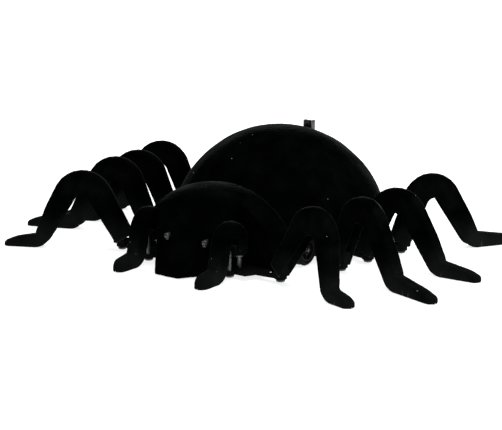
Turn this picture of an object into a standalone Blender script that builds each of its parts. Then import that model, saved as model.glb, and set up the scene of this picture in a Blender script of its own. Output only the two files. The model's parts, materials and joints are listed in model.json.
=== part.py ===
"""Remote-controlled toy spider: a suction-fan chassis on four wheels, two flocked shells,
eight arched legs and two front feelers, each limb turning on its own upright pin.

Frame: metres, +Z up, the spider looks along -Y, its left side is +X, the floor is Z = 0.
"""
import math

import bmesh
import bpy
from mathutils import Matrix, Vector

MM = 0.001
GAP = 0.3 * MM                 # clearance between neighbouring pieces

# Driving dimensions: the body
FLOOR_CLEARANCE = 1.8 * MM     # underside of the chassis plate
PLATE = 1.2 * MM
SHELL_WALL = 1.0 * MM
ABDOMEN_Y = 16.0 * MM
ABDOMEN_RADIUS = 46.0 * MM
ABDOMEN_RISE = 45.6 * MM       # half height of the dome's ellipsoid
HEAD_Y = -29.0 * MM
HEAD_RADIUS = 34.0 * MM
HEAD_RISE = 29.0 * MM
DOME_CENTRE_Z = 3.0 * MM
FACE_Y = -45.6 * MM            # upright front of the head, above the snout
CHEEK_X = 16.2 * MM            # half width of the face between the feeler bays
BAY_BACK = -34.4 * MM          # rear wall of the bay a feeler stands in
SNOUT_TIP_Y = -60.2 * MM       # the snout slopes forward and down to here
SNOUT_TIP_X = 5.8 * MM         # half width at its tip
SNOUT_TOP = 15.5 * MM
SNOUT_FLOOR = 0.4 * MM
EYE = (9.6 * MM, 12.6 * MM)    # x and z of an eye

# Driving dimensions: the limbs
LEG_THICKNESS = 5.8 * MM
LEG_WALL = 0.8 * MM
HUB_RADIUS = 2.9 * MM
HUB_HEIGHT = 5.5 * MM
PIN_RADIUS = 1.0 * MM
# Pivot x and y, left and right swing in degrees (positive is forward), reach of the toe
LEGS = {
    "1": (40.4, -39.3, 16.0, 26.6, 50.9),
    "2": (50.6, -12.1, 16.8, 21.1, 54.8),
    "3": (52.1, 4.8, -3.2, 22.8, 50.4),
    "4": (55.6, 24.6, -58.0, 17.0, 54.6),
}
FRONT_EDGE = ((2.3, 3.3, 0.0), (16.7, 26.6, 3.3), (33.3, 0.0, 7.2))
SQUARE_EDGE = ((2.3, 3.3, 0.0), (22.5, 28.1, 3.3), (27.9, 0.0, 6.2))
SQUARE_DEPTH = ((0.0, 7.2), (0.30, 9.0), (0.42, 10.6), (0.50, 8.6), (0.62, 7.2), (0.72, 6.1), (0.85, 4.9),
                (0.94, 3.8), (1.0, 1.7))
SQUARE_REACH = 42.5            # the front left leg stands squarer and shorter than the others
FEELER = (20.6, -39.6, 26.8)   # pivot x and y, reach of the toe
FEELER_ROOT = 8.6 * MM         # underside of a feeler's hub, high on its long pin
FEELER_HUB_HEIGHT = 4.4 * MM
# Inner edge of a limb in its own upright plane, from root to heel: (out, up, corner radius)
LEG_EDGE = ((2.3, 3.3, 0.0), (12.7, 26.6, 3.3), (30.5, 0.0, 7.2))
LEG_DEPTH = ((0.0, 7.9), (0.30, 9.7), (0.55, 8.4), (0.66, 7.0), (0.74, 6.3), (0.93, 3.8), (1.0, 1.7))
FEELER_EDGE = ((3.2, 10.5, 0.0), (5.0, 29.4, 2.6), (12.2, 0.0, 6.9))
FEELER_DEPTH = ((0.0, 5.4), (0.20, 6.3), (0.45, 6.6), (0.62, 6.4), (0.78, 5.6), (0.93, 4.6), (1.0, 1.5))

# Driving dimensions: running gear
WHEEL_RADIUS = 6.5 * MM
RIM_RADIUS = 4.7 * MM
WHEEL_WIDTH = 4.6 * MM
AXLE_RADIUS = 0.75 * MM
FRONT_WHEEL = (32.9 * MM, -13.0 * MM)
REAR_WHEEL = (26.0 * MM, 38.0 * MM)
GEAR_CENTRES = 8.25 * MM
MESH_ANGLE = math.radians(30.0)
DUCT_RADIUS = 15.2 * MM
STUD = (20.6 * MM, -46.0 * MM, 0.8 * MM, 11.0 * MM)     # x, y, radius, top
SCREWS = ((34.0 * MM, 10.0 * MM, 29.0 * MM), (18.0 * MM, -31.8 * MM, 25.6 * MM))

PLATE_TOP = FLOOR_CLEARANCE + PLATE
SHELL_RIM = PLATE_TOP + GAP
SKIRT_RIM = 1.0 * MM           # lower edge of the shells, hanging around the plate
PAD_RADIUS = 2.5 * MM
STRAP = (24.0 * MM, 1.4 * MM)  # length and half width of the strap under a limb
OVERSHOOT = 20.0 * MM          # how far a cutter runs past what it cuts

PAINT = {
    "flock": ((0.004, 0.004, 0.0045), 0.95, 0.0),
    "plastic": ((0.012, 0.012, 0.013), 0.45, 0.0),
    "steel": ((0.62, 0.62, 0.64), 0.3, 1.0),
    "rubber": ((0.015, 0.015, 0.015), 0.85, 0.0),
    "nylon": ((0.75, 0.74, 0.70), 0.5, 0.0),
    "lens": ((0.25, 0.02, 0.02), 0.15, 0.0),
    "foil": ((0.55, 0.56, 0.60), 0.35, 0.8),
    "board": ((0.02, 0.16, 0.06), 0.5, 0.0),
}


def clear_scene():
    for thing in list(bpy.data.objects):
        bpy.data.objects.remove(thing, do_unlink=True)


def new_collection(name):
    group = bpy.data.collections.new(name)
    bpy.context.scene.collection.children.link(group)
    return group


clear_scene()
PARTS = new_collection("toy_spider")
CUTTERS = new_collection("cutters")


def material_for(node, paint):
    colour, roughness, metallic = PAINT[paint]
    material = bpy.data.materials.new(node + "_" + paint)
    material.use_nodes = True
    shader = material.node_tree.nodes["Principled BSDF"]
    shader.inputs["Base Color"].default_value = (*colour, 1.0)
    shader.inputs["Roughness"].default_value = roughness
    shader.inputs["Metallic"].default_value = metallic
    material.diffuse_color = (*colour, 1.0)
    return material


def mesh_object(name, bm, paint=None, place=Matrix.Identity(4)):
    """A part when it has a paint, otherwise a cutter or a building block."""
    mesh = bpy.data.meshes.new(name)
    bm.to_mesh(mesh)
    bm.free()
    mesh.shade_smooth()
    mesh.set_sharp_from_angle(angle=math.radians(35.0))
    thing = bpy.data.objects.new(name, mesh)
    thing.matrix_world = place
    if paint:
        PARTS.objects.link(thing)
        mesh.materials.append(material_for(name, paint))
    else:
        CUTTERS.objects.link(thing)
        thing.hide_render = True
        thing.display_type = "WIRE"
    return thing


def box_mesh(low, high):
    low, high = Vector(low), Vector(high)
    bm = bmesh.new()
    bmesh.ops.create_cube(bm, size=1.0)
    for vert in bm.verts:
        vert.co = (low + high) / 2 + Vector(a * b for a, b in zip(vert.co, high - low))
    return bm


def rod_mesh(radius, low, high, segments=24):
    """A cylinder about Z from low to high."""
    bm = bmesh.new()
    bmesh.ops.create_cone(
        bm, cap_ends=True, segments=segments, radius1=radius,
        radius2=radius, depth=high - low,
        matrix=Matrix.Translation((0, 0, (low + high) / 2)))
    return bm


def dome_mesh(centre_y, radius, rise, segments=40):
    bm = bmesh.new()
    bmesh.ops.create_uvsphere(bm, u_segments=segments, v_segments=segments // 2, radius=1.0)
    for vert in bm.verts:
        vert.co = Vector((vert.co.x * radius, centre_y + vert.co.y * radius,
                          DOME_CENTRE_Z + vert.co.z * rise))
    return bm


def at(x, y, z=0.0, turn=0.0):
    return Matrix.Translation((x, y, z)) @ Matrix.Rotation(turn, 4, "Z")


def along_x(x, y, z, side=1):
    """Places a piece modelled about Z so that its Z points outward along the X axis."""
    return Matrix.Translation((x, y, z)) @ Matrix.Rotation(side * math.pi / 2, 4, "Y")


def boolean(target, tool, operation):
    modifier = target.modifiers.new(operation.lower(), "BOOLEAN")
    modifier.operation = operation
    modifier.object = tool
    modifier.solver = "EXACT"
    return target


def cut(target, bm, name, place=Matrix.Identity(4)):
    return boolean(target, mesh_object("cut_" + name, bm, place=place), "DIFFERENCE")


def join(target, bm, name, place=Matrix.Identity(4)):
    return boolean(target, mesh_object("add_" + name, bm, place=place), "UNION")


def bevel(thing, width, segments=2):
    modifier = thing.modifiers.new("bevel", "BEVEL")
    modifier.width = width
    modifier.segments = segments
    modifier.limit_method = "ANGLE"
    return thing


def both_sides():
    return (("left", 1), ("right", -1))


# ---------------------------------------------------------------- shells

def abdomen_shell():
    """A dome open at the bottom, with two screw posts inside."""
    bm = dome_mesh(ABDOMEN_Y, ABDOMEN_RADIUS, ABDOMEN_RISE)
    bmesh.ops.bisect_plane(bm, geom=bm.verts[:] + bm.edges[:] + bm.faces[:],
                           plane_co=(0, 0, SKIRT_RIM), plane_no=(0, 0, -1), clear_outer=True)
    shell = mesh_object("abdomen_shell", bm, "flock")
    solid = shell.modifiers.new("wall", "SOLIDIFY")
    solid.thickness = SHELL_WALL
    solid.offset = -1.0
    x, y, top = SCREWS[0]
    for side, sign in both_sides():
        screw_post(shell, "abdomen_post_" + side, sign * x, y, top)
        cut(shell, wheel_arch(sign), "abdomen_arch_" + side)
    wiring = box_mesh((-8 * MM, -40 * MM, 0), (8 * MM, -20 * MM, 11 * MM))
    cut(shell, wiring, "wiring_mouth")
    ir_slot = box_mesh((-2.5 * MM, 35.7 * MM, 30 * MM), (2.5 * MM, 39.5 * MM, 60 * MM))
    cut(shell, ir_slot, "ir_slot")
    clear_of_chassis(shell, "abdomen")
    return shell


def clear_of_chassis(shell, name):
    """Cuts the head plate and the straps, with their clearance, out of a shell's skirt."""
    plate = mesh_object(name + "_plate_room", rod_mesh(HEAD_RADIUS - 1.3 * MM, -OVERSHOOT, SHELL_RIM, 40),
                        place=at(0, HEAD_Y))
    ahead = box_mesh((-50 * MM, -90 * MM, -OVERSHOOT * 2), (50 * MM, FACE_Y - MM, OVERSHOOT))
    cut(plate, ahead, name + "_plate_room_front")
    boolean(shell, plate, "DIFFERENCE")
    length, half = STRAP
    for limb_name, x, y, *_ in limb_places():
        room = box_mesh((0, -half - GAP, -OVERSHOOT), (length, half + GAP, SHELL_RIM))
        cut(shell, room, "%s_strap_room_%s" % (name, limb_name), at(x, y, 0.0, strap_turn(x, y)))


def screw_post(shell, name, x, y, top):
    join(shell, rod_mesh(2.2 * MM, SHELL_RIM, top, 12), name, at(x, y))
    cut(shell, rod_mesh(1.1 * MM, 0.0, 9.5 * MM, 12), name, at(x, y))


def wheel_arch(sign, outward=OVERSHOOT):
    """The space around a front wheel and its gear, open to the side and to the floor."""
    x, y = FRONT_WHEEL
    reach = WHEEL_RADIUS + 1.5 * MM
    inner = x - WHEEL_WIDTH / 2 - 3.6 * MM
    outer = x + outward
    low, high = sorted((sign * inner, sign * outer))
    return box_mesh((low, y - reach, -OVERSHOOT), (high, y + reach, WHEEL_RADIUS * 2 + 1.2 * MM))


def head_form(name, inset, paint=None):
    """The head's solid outline: a dome with a flat face and a bay on each side for a feeler."""
    form = mesh_object(name, dome_mesh(HEAD_Y, HEAD_RADIUS - inset, HEAD_RISE - inset), paint)
    keep = box_mesh((-HEAD_RADIUS * 2, FACE_Y + inset, -OVERSHOOT),
                    (HEAD_RADIUS * 2, HEAD_RADIUS, HEAD_RADIUS * 2))
    boolean(form, mesh_object(name + "_block", keep), "INTERSECT")
    join(form, snout_mesh(inset), name + "_snout")
    for side, sign in both_sides():
        ends = sorted((sign * (CHEEK_X - inset), sign * HEAD_RADIUS * 2))
        bay = box_mesh((ends[0], -90 * MM, -OVERSHOOT * 2), (ends[1], BAY_BACK + inset, HEAD_RADIUS * 2))
        cut(form, bay, "_".join((name, "bay", side)))
    return form


def snout_mesh(inset):
    """A wedge that narrows forward and down from the width of the face."""
    back = HEAD_Y - 4 * MM
    bm = bmesh.new()
    for sign in (-1, 1):
        wide, narrow = sign * (CHEEK_X - inset), sign * (SNOUT_TIP_X - inset)
        for place in ((wide, FACE_Y + inset, SNOUT_TOP - inset), (wide, back, SNOUT_TOP - inset),
                      (wide, back, -4 * MM), (wide, FACE_Y + inset, -4 * MM),
                      (narrow, SNOUT_TIP_Y + inset, SNOUT_FLOOR), (narrow, SNOUT_TIP_Y + inset, -4 * MM)):
            bm.verts.new(place)
    hull = bmesh.ops.convex_hull(bm, input=bm.verts[:])
    loose = [item for item in hull["geom_interior"] if isinstance(item, bmesh.types.BMVert)]
    bmesh.ops.delete(bm, geom=loose, context="VERTS")
    return bm


def head_shell():
    """A thin shell of the head's form, open below and behind, where the abdomen stands."""
    shell = head_form("head_shell", 0.0, "flock")
    wide = HEAD_RADIUS * 2
    cut(shell, box_mesh((-wide, -wide * 2, -OVERSHOOT), (wide, wide, SNOUT_FLOOR)), "head_floor")
    rear = box_mesh((-wide, FACE_Y - MM, -OVERSHOOT), (wide, wide, SKIRT_RIM))
    cut(shell, rear, "head_rim")
    boolean(shell, head_form("head_inside", SHELL_WALL), "DIFFERENCE")
    x, y, top = SCREWS[1]
    for side, sign in both_sides():
        screw_post(shell, "head_post_" + side, sign * x, y, top)
        cut(shell, wheel_arch(sign), "head_arch_" + side)
        hole = rod_mesh(1.8 * MM, -4 * MM, 8 * MM, 20)
        eye_x, eye_z = EYE
        cut(shell, hole, "eye_hole_" + side, along_y(sign * eye_x, FACE_Y, eye_z))
    clearance = dome_mesh(ABDOMEN_Y, ABDOMEN_RADIUS + GAP * 1.3, ABDOMEN_RISE + GAP * 1.3)
    cut(shell, clearance, "abdomen_clearance")
    clear_of_chassis(shell, "head")
    return shell


def along_y(x, y, z):
    """Places a piece modelled about Z so that its Z points forward, along -Y."""
    return Matrix.Translation((x, y, z)) @ Matrix.Rotation(math.pi / 2, 4, "X")


def eyes():
    eye_x, eye_z = EYE
    for side, sign in both_sides():
        bulb = mesh_object("eye_" + side, rod_mesh(1.5 * MM, -1.0 * MM, 3.2 * MM, 20), "lens",
                           along_y(sign * eye_x, FACE_Y, eye_z))
        bevel(bulb, 0.7 * MM, 3)


def ir_receiver():
    body = box_mesh((-2.2 * MM, 36.0 * MM, 38 * MM), (2.2 * MM, 39.2 * MM, 48.0 * MM))
    bevel(mesh_object("ir_receiver", body, "plastic"), 0.4 * MM)


# ---------------------------------------------------------------- limbs

def rounded_edge(corners):
    """Points and outward normals along straight runs joined by arcs."""
    points = [Vector(corner[:2]) for corner in corners]
    path = [points[0]]
    for before, here, after, corner in zip(points, points[1:], points[2:], corners[1:]):
        incoming, outgoing = (here - before).normalized(), (after - here).normalized()
        turn = incoming.angle_signed(outgoing)
        reach = corner[2] * math.tan(abs(turn) / 2)
        start = here - incoming * reach
        steps = max(3, round(abs(turn) / math.radians(24.0)))
        sideways = Vector((incoming.y, -incoming.x)) * (1 if turn > 0 else -1)
        centre = start + sideways * corner[2]
        for step in range(steps + 1):
            spin = Matrix.Rotation(-turn * step / steps, 2)
            path.append(centre + spin @ (start - centre))
    path.append(points[-1])
    return spread(path)


def spread(path):
    """Adds points on long straight runs, and gives each point its outward normal."""
    longest = 7.0
    filled = [path[0]]
    for here, after in zip(path, path[1:]):
        count = max(1, math.ceil((after - here).length / longest))
        filled += [here.lerp(after, step / count) for step in range(1, count + 1)]
    normals = []
    for index in range(len(filled)):
        tangent = (filled[min(index + 1, len(filled) - 1)] - filled[max(index - 1, 0)]).normalized()
        normals.append(Vector((-tangent.y, tangent.x)))
    return list(zip(filled, normals))


def ramp(stops, fraction):
    for (start, low), (end, high) in zip(stops, stops[1:]):
        if fraction <= end:
            return low + (high - low) * (fraction - start) / (end - start)
    return stops[-1][1]


def limb_mesh(corners, depths, thickness):
    """An inverted channel swept along the limb: two side walls and a web on the outer side."""
    stations = rounded_edge(corners)
    lengths = [0.0]
    for (here, _), (after, _) in zip(stations, stations[1:]):
        lengths.append(lengths[-1] + (after - here).length)
    bm = bmesh.new()
    rows = []
    for (edge, normal), length in zip(stations, lengths):
        fraction = length / lengths[-1]
        depth = ramp(depths, fraction)
        half = thickness / 2 * (1.0 if fraction < 0.93 else 0.72)
        shoulder = min(1.2, depth * 0.4)
        section = ((0.0, -half), (depth - shoulder, -half), (depth, shoulder - half),
                   (depth, half - shoulder), (depth - shoulder, half), (0.0, half))
        row = []
        for up, across in section:
            place = edge + normal * up
            row.append(bm.verts.new((place.x * MM, across * MM, place.y * MM)))
        rows.append(row)
    for row, following in zip(rows, rows[1:]):
        for index in range(len(row) - 1):
            bm.faces.new((row[index], row[index + 1], following[index + 1], following[index]))
    bmesh.ops.recalc_face_normals(bm, faces=bm.faces[:])
    return bm


def limb(name, corners, depths, low, high, place):
    channel = mesh_object(name, limb_mesh(corners, depths, LEG_THICKNESS / MM), "flock", place)
    solid = channel.modifiers.new("wall", "SOLIDIFY")
    solid.thickness = LEG_WALL
    solid.offset = -1.0
    solid.use_even_offset = True
    join(channel, rod_mesh(HUB_RADIUS, low, high, 14), name + "_hub", place)
    cut(channel, rod_mesh(PIN_RADIUS + GAP, 0.0, high + MM, 12), name + "_bore", place)
    return channel


def pivot_pin(name, x, y, low, high):
    """A headed pin that comes up through the chassis and carries one limb."""
    pin = mesh_object(name, rod_mesh(PIN_RADIUS, 1.0 * MM, high - GAP, 12), "steel", at(x, y))
    if low > SHELL_RIM:
        join(pin, rod_mesh(1.8 * MM, low - GAP - 0.8 * MM, low - GAP, 12), name + "_collar", at(x, y))
    join(pin, rod_mesh(1.8 * MM, 0.6 * MM, FLOOR_CLEARANCE - GAP, 12), name + "_head", at(x, y))


def studs():
    """A plain upright stud under each feeler's arch."""
    x, y, radius, top = STUD
    for side, sign in both_sides():
        stud = mesh_object("stud_" + side, rod_mesh(radius, 1.0 * MM, top, 12), "steel", at(sign * x, y))
        join(stud, rod_mesh(1.8 * MM, 0.6 * MM, FLOOR_CLEARANCE - GAP, 12), "stud_head_" + side,
             at(sign * x, y))


def limb_places():
    """Name, pivot, turn about Z and reach of every limb."""
    for number, (x, y, left, right, reach) in LEGS.items():
        yield "leg_left_" + number, x * MM, y * MM, math.radians(-left), reach
        yield "leg_right_" + number, -x * MM, y * MM, math.radians(180.0 + right), reach
    x, y, reach = FEELER
    yield "feeler_left", x * MM, y * MM, math.radians(-90.0), reach
    yield "feeler_right", -x * MM, y * MM, math.radians(-90.0), reach


def limbs():
    for name, x, y, turn, reach in limb_places():
        if name.startswith("leg"):
            edge, depths, low, high = LEG_EDGE, LEG_DEPTH, SHELL_RIM, SHELL_RIM + HUB_HEIGHT
            if name == "leg_right_1":
                edge = FRONT_EDGE
            elif name == "leg_left_1":
                edge, depths, reach = SQUARE_EDGE, SQUARE_DEPTH, SQUARE_REACH
        else:
            edge, depths, low, high = FEELER_EDGE, FEELER_DEPTH, FEELER_ROOT, FEELER_ROOT + FEELER_HUB_HEIGHT
        limb(name, (*edge, (reach, 0.0, 0.0)), depths, low, high, at(x, y, 0.0, turn))
        pivot_pin("pin_" + name, x, y, low, high)


# ---------------------------------------------------------------- chassis

def chassis():
    """The base plate with its limb pads, fan duct and axle uprights."""
    low, high = FLOOR_CLEARANCE, PLATE_TOP
    base = mesh_object("chassis", rod_mesh(ABDOMEN_RADIUS - 1.6 * MM, low, high, 48), "plastic",
                       at(0, ABDOMEN_Y))
    front = mesh_object("add_head_plate", rod_mesh(HEAD_RADIUS - 1.6 * MM, low, high, 40),
                        place=at(0, HEAD_Y))
    cut(front, box_mesh((-50 * MM, -90 * MM, -OVERSHOOT), (50 * MM, FACE_Y, OVERSHOOT)), "plate_front")
    boolean(base, front, "UNION")
    for name, x, y, _, _ in limb_places():
        pad(base, name, x, y, low, high)
    join(base, rod_mesh(DUCT_RADIUS + 1.4 * MM, high - 0.4 * MM, 15 * MM, 32), "duct", at(0, ABDOMEN_Y))
    cut(base, rod_mesh(DUCT_RADIUS, -OVERSHOOT, OVERSHOOT, 32), "duct_bore", at(0, ABDOMEN_Y))
    for side, sign in both_sides():
        wheel_wells(base, side, sign)
        stud_x, stud_y, radius, _ = STUD
        join(base, rod_mesh(PAD_RADIUS, low, high, 12), "stud_pad_" + side, at(sign * stud_x, stud_y))
        cut(base, rod_mesh(radius + GAP, 0.0, OVERSHOOT, 12), "stud_hole_" + side, at(sign * stud_x, stud_y))
        for number, (x, y, _) in enumerate(SCREWS):
            hole = rod_mesh(1.1 * MM, 0.0, 6 * MM, 12)
            cut(base, hole, "screw_hole_%s_%d" % (side, number), at(sign * x, y))
    cut(base, box_mesh((-13.5 * MM, -44 * MM, 0), (13.5 * MM, -32 * MM, 6 * MM)), "battery_hatch")
    cut(base, box_mesh((-2.6 * MM, 50.2 * MM, 0), (2.6 * MM, 52.8 * MM, 6 * MM)), "switch_slot")
    cut(base, rod_mesh(1.6 * MM, 0.0, 6 * MM, 16), "charge_hole", at(0, 42 * MM))
    return base


def pad(base, name, x, y, low, high):
    """A round pad under a limb, with a strap back to the plate."""
    join(base, rod_mesh(PAD_RADIUS, low, high, 12), "pad_" + name, at(x, y))
    length, half = STRAP
    strap = box_mesh((0, -half, low), (length, half, high))
    join(base, strap, "strap_" + name, at(x, y, 0.0, strap_turn(x, y)))
    cut(base, rod_mesh(PIN_RADIUS + GAP, 0.0, OVERSHOOT, 12), "pin_hole_" + name, at(x, y))


def strap_turn(x, y):
    """The way a strap runs from a limb's pivot to the plate."""
    hub_y = HEAD_Y + FRONT_WHEEL[1] if y < FRONT_WHEEL[1] else ABDOMEN_Y
    return math.atan2(hub_y - y, -x)


def wheel_wells(base, side, sign):
    """Slots under the wheels and the uprights that hold their axles."""
    bore = AXLE_RADIUS + GAP
    x, y = FRONT_WHEEL
    cut(base, wheel_arch(sign, WHEEL_WIDTH), "front_well_" + side)
    upright(base, "front_" + side, sign * (x - 7.9 * MM), y, 4.0 * MM)
    cut(base, rod_mesh(bore, -3 * MM, 3 * MM, 14), "front_bore_" + side,
        along_x(sign * (x - 7.9 * MM), y, WHEEL_RADIUS))
    x, y = REAR_WHEEL
    reach = WHEEL_RADIUS + 1.0 * MM
    slot = WHEEL_WIDTH / 2 + 0.7 * MM
    cut(base, box_mesh((sign * x - slot, y - reach, -OVERSHOOT), (sign * x + slot, y + reach, OVERSHOOT)),
        "rear_well_" + side)
    for place, offset in (("inner", -4.0 * MM), ("outer", 4.0 * MM)):
        upright(base, "rear_%s_%s" % (place, side), sign * x + offset, y, 3.0 * MM)
        cut(base, rod_mesh(bore, -2 * MM, 2 * MM, 14), "rear_bore_%s_%s" % (place, side),
            along_x(sign * x + offset, y, WHEEL_RADIUS))


def upright(base, name, x, y, half_length):
    wall = box_mesh((x - 0.9 * MM, y - half_length, PLATE_TOP - 0.4 * MM),
                    (x + 0.9 * MM, y + half_length, WHEEL_RADIUS + 3.0 * MM))
    join(base, wall, "upright_" + name)


# ---------------------------------------------------------------- wheels and drive

def ring_mesh(profile, segments):
    """A turned ring about Z: the profile is radius and height, down its outer side first."""
    bm = bmesh.new()
    verts = [bm.verts.new((radius, 0.0, height)) for radius, height in profile]
    edges = [bm.edges.new(pair) for pair in zip(verts, verts[1:] + verts[:1])]
    bmesh.ops.spin(bm, geom=verts + edges, cent=(0, 0, 0), axis=(0, 0, 1), angle=math.tau,
                   steps=segments, use_merge=True, use_duplicate=False)
    bmesh.ops.remove_doubles(bm, verts=bm.verts[:], dist=MM / 1000)
    bmesh.ops.recalc_face_normals(bm, faces=bm.faces[:])
    return bm


def tyre_mesh():
    half = WHEEL_WIDTH / 2
    shoulder = 0.9 * MM
    bore = RIM_RADIUS + GAP
    return ring_mesh(((WHEEL_RADIUS, half - shoulder), (WHEEL_RADIUS, shoulder - half),
                      (WHEEL_RADIUS - shoulder, -half), (bore, -half), (bore, half),
                      (WHEEL_RADIUS - shoulder, half)), 20)


def rim_mesh():
    half = WHEEL_WIDTH / 2 - 0.2 * MM
    dish = 1.2 * MM
    bore = AXLE_RADIUS + GAP
    boss = 2.0 * MM
    lip = RIM_RADIUS - 0.8 * MM
    return ring_mesh(((RIM_RADIUS, half), (RIM_RADIUS, -half), (lip, -half), (lip, dish - half),
                      (boss, dish - half), (boss, -half), (bore, -half), (bore, half), (boss, half),
                      (boss, half - dish), (lip, half - dish), (lip, half)), 16)


def gear_mesh(teeth, tip, root, bore, width):
    """A toothed disc about Z with flat-topped teeth and a round bore."""
    bm = bmesh.new()
    outline = []
    pitch = math.tau / teeth
    for tooth in range(teeth):
        for radius, share in ((root, -0.30), (tip, -0.14), (tip, 0.14), (root, 0.30)):
            angle = (tooth + share) * pitch
            outline.append((radius, angle))
    rings = []
    for height in (-width / 2, width / 2):
        outer = [bm.verts.new((r * math.cos(a), r * math.sin(a), height)) for r, a in outline]
        inner = [bm.verts.new((bore * math.cos(a), bore * math.sin(a), height)) for _, a in outline]
        rings.append((outer, inner))
    (low_out, low_in), (high_out, high_in) = rings
    count = len(outline)
    for index in range(count):
        after = (index + 1) % count
        bm.faces.new((low_out[index], low_out[after], high_out[after], high_out[index]))
        bm.faces.new((high_in[index], high_in[after], low_in[after], low_in[index]))
        bm.faces.new((high_out[index], high_out[after], high_in[after], high_in[index]))
        bm.faces.new((low_in[index], low_in[after], low_out[after], low_out[index]))
    bmesh.ops.recalc_face_normals(bm, faces=bm.faces[:])
    return bm


def pinion_centre():
    y = FRONT_WHEEL[1] + GEAR_CENTRES * math.cos(MESH_ANGLE)
    z = WHEEL_RADIUS + GEAR_CENTRES * math.sin(MESH_ANGLE)
    return y, z


def front_drive(side, sign):
    """A wheel with its gear on a stub axle, and the motor whose pinion turns it."""
    x, y = FRONT_WHEEL
    z = WHEEL_RADIUS
    mesh_object("front_tyre_" + side, tyre_mesh(), "rubber", along_x(sign * x, y, z))
    mesh_object("front_wheel_" + side, rim_mesh(), "nylon", along_x(sign * x, y, z))
    gear_x = x - 4.4 * MM
    mesh_object("drive_gear_" + side,
                gear_mesh(16, 5.9 * MM, 5.3 * MM, AXLE_RADIUS + GAP, 2.0 * MM), "nylon",
                along_x(sign * gear_x, y, z))
    mesh_object("front_axle_" + side, rod_mesh(AXLE_RADIUS, -6.6 * MM, 6.6 * MM, 14), "steel",
                along_x(sign * (x - 4.0 * MM), y, z))
    pinion_y, pinion_z = pinion_centre()
    mesh_object("pinion_" + side, gear_mesh(6, 2.1 * MM, 1.5 * MM, 0.8 * MM, 2.0 * MM), "nylon",
                along_x(sign * gear_x, pinion_y, pinion_z))
    can = mesh_object("drive_motor_" + side, rod_mesh(3.0 * MM, 8 * MM, 23.5 * MM, 24), "steel",
                      along_x(0, pinion_y, pinion_z, sign))
    join(can, rod_mesh(0.5 * MM, 23 * MM, 29.4 * MM, 10), "motor_shaft_" + side,
         along_x(0, pinion_y, pinion_z, sign))


def rear_wheel(side, sign):
    x, y = REAR_WHEEL
    z = WHEEL_RADIUS
    mesh_object("rear_tyre_" + side, tyre_mesh(), "rubber", along_x(sign * x, y, z))
    mesh_object("rear_wheel_" + side, rim_mesh(), "nylon", along_x(sign * x, y, z))
    mesh_object("rear_axle_" + side, rod_mesh(AXLE_RADIUS, -5.4 * MM, 5.4 * MM, 14), "steel",
                along_x(sign * x, y, z))


# ---------------------------------------------------------------- suction fan

def suction_fan():
    """Impeller, its motor, the three-armed bracket over the duct, and the skirt below."""
    centre = at(0, ABDOMEN_Y)
    wheel = mesh_object("fan_impeller", rod_mesh(4.0 * MM, 5 * MM, 13 * MM, 24), "nylon", centre)
    blades = 6
    for number in range(blades):
        blade = box_mesh((2.0 * MM, -0.5 * MM, -3.2 * MM), (DUCT_RADIUS - 0.9 * MM, 0.5 * MM, 3.2 * MM))
        pitch = Matrix.Rotation(math.radians(35.0), 4, "X")
        place = centre @ at(0, 0, 9 * MM, math.tau * number / blades) @ pitch
        join(wheel, blade, "blade_%d" % number, place)
    cut(wheel, rod_mesh(0.9 * MM, 0.0, OVERSHOOT, 12), "impeller_bore", centre)
    motor = mesh_object("fan_motor", rod_mesh(4.2 * MM, 15.6 * MM, 35 * MM, 28), "steel", centre)
    join(motor, rod_mesh(0.6 * MM, 6 * MM, 16 * MM, 10), "fan_shaft", centre)
    bracket = mesh_object("fan_bracket", rod_mesh(6.2 * MM, 15.3 * MM, 21 * MM, 28), "plastic", centre)
    arms = 3
    for number in range(arms):
        arm = box_mesh((4.0 * MM, -1.5 * MM, 15.3 * MM), (DUCT_RADIUS + 1.2 * MM, 1.5 * MM, 17 * MM))
        join(bracket, arm, "fan_arm_%d" % number, centre @ at(0, 0, 0, math.tau * (number + 0.25) / arms))
    cut(bracket, rod_mesh(4.2 * MM + GAP, 0.0, OVERSHOOT * 2, 28), "motor_seat", centre)
    inner, outer = 19.0 * MM, 21.0 * MM
    low, high = 0.5 * MM, FLOOR_CLEARANCE - GAP
    mesh_object("suction_skirt", ring_mesh(((outer, high), (outer + MM, low), (inner + MM, low),
                                            (inner, high)), 40), "rubber", centre)


# ---------------------------------------------------------------- power and control

def electrics():
    battery = box_mesh((-12.5 * MM, -44.2 * MM, SHELL_RIM), (12.5 * MM, -31.6 * MM, 9.8 * MM))
    bevel(mesh_object("battery", battery, "foil"), 0.8 * MM)
    hatch = box_mesh((-13.2 * MM, -43.7 * MM, FLOOR_CLEARANCE), (13.2 * MM, -32.3 * MM, PLATE_TOP))
    mesh_object("battery_hatch", hatch, "plastic")
    board = mesh_object("circuit_board", box_mesh((-13 * MM, -43.6 * MM, 12 * MM),
                                                  (13 * MM, -31.2 * MM, 13.2 * MM)), "board")
    for name, x, half in (("controller", -5 * MM, 2.5 * MM), ("driver", 5 * MM, 2 * MM)):
        join(board, box_mesh((x - half, -38 * MM - half, 13 * MM), (x + half, -38 * MM + half, 14.4 * MM)), name)
    switch = box_mesh((-4.2 * MM, 49.4 * MM, SHELL_RIM), (4.2 * MM, 53.6 * MM, 6.6 * MM))
    housing = mesh_object("switch_body", switch, "steel")
    cut(housing, box_mesh((-2.6 * MM, 50.4 * MM, 0), (2.6 * MM, 52.6 * MM, 4.8 * MM)), "switch_window")
    slider = box_mesh((-2.1 * MM, 50.8 * MM, 1.4 * MM), (0.0, 52.2 * MM, 4.4 * MM))
    mesh_object("switch_slider", slider, "plastic")
    socket = mesh_object("charge_socket", box_mesh((-3 * MM, 39 * MM, SHELL_RIM), (3 * MM, 45 * MM, 8.5 * MM)),
                         "plastic")
    cut(socket, rod_mesh(1.3 * MM, 0.0, 7 * MM, 16), "charge_bore", at(0, 42 * MM))


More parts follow.
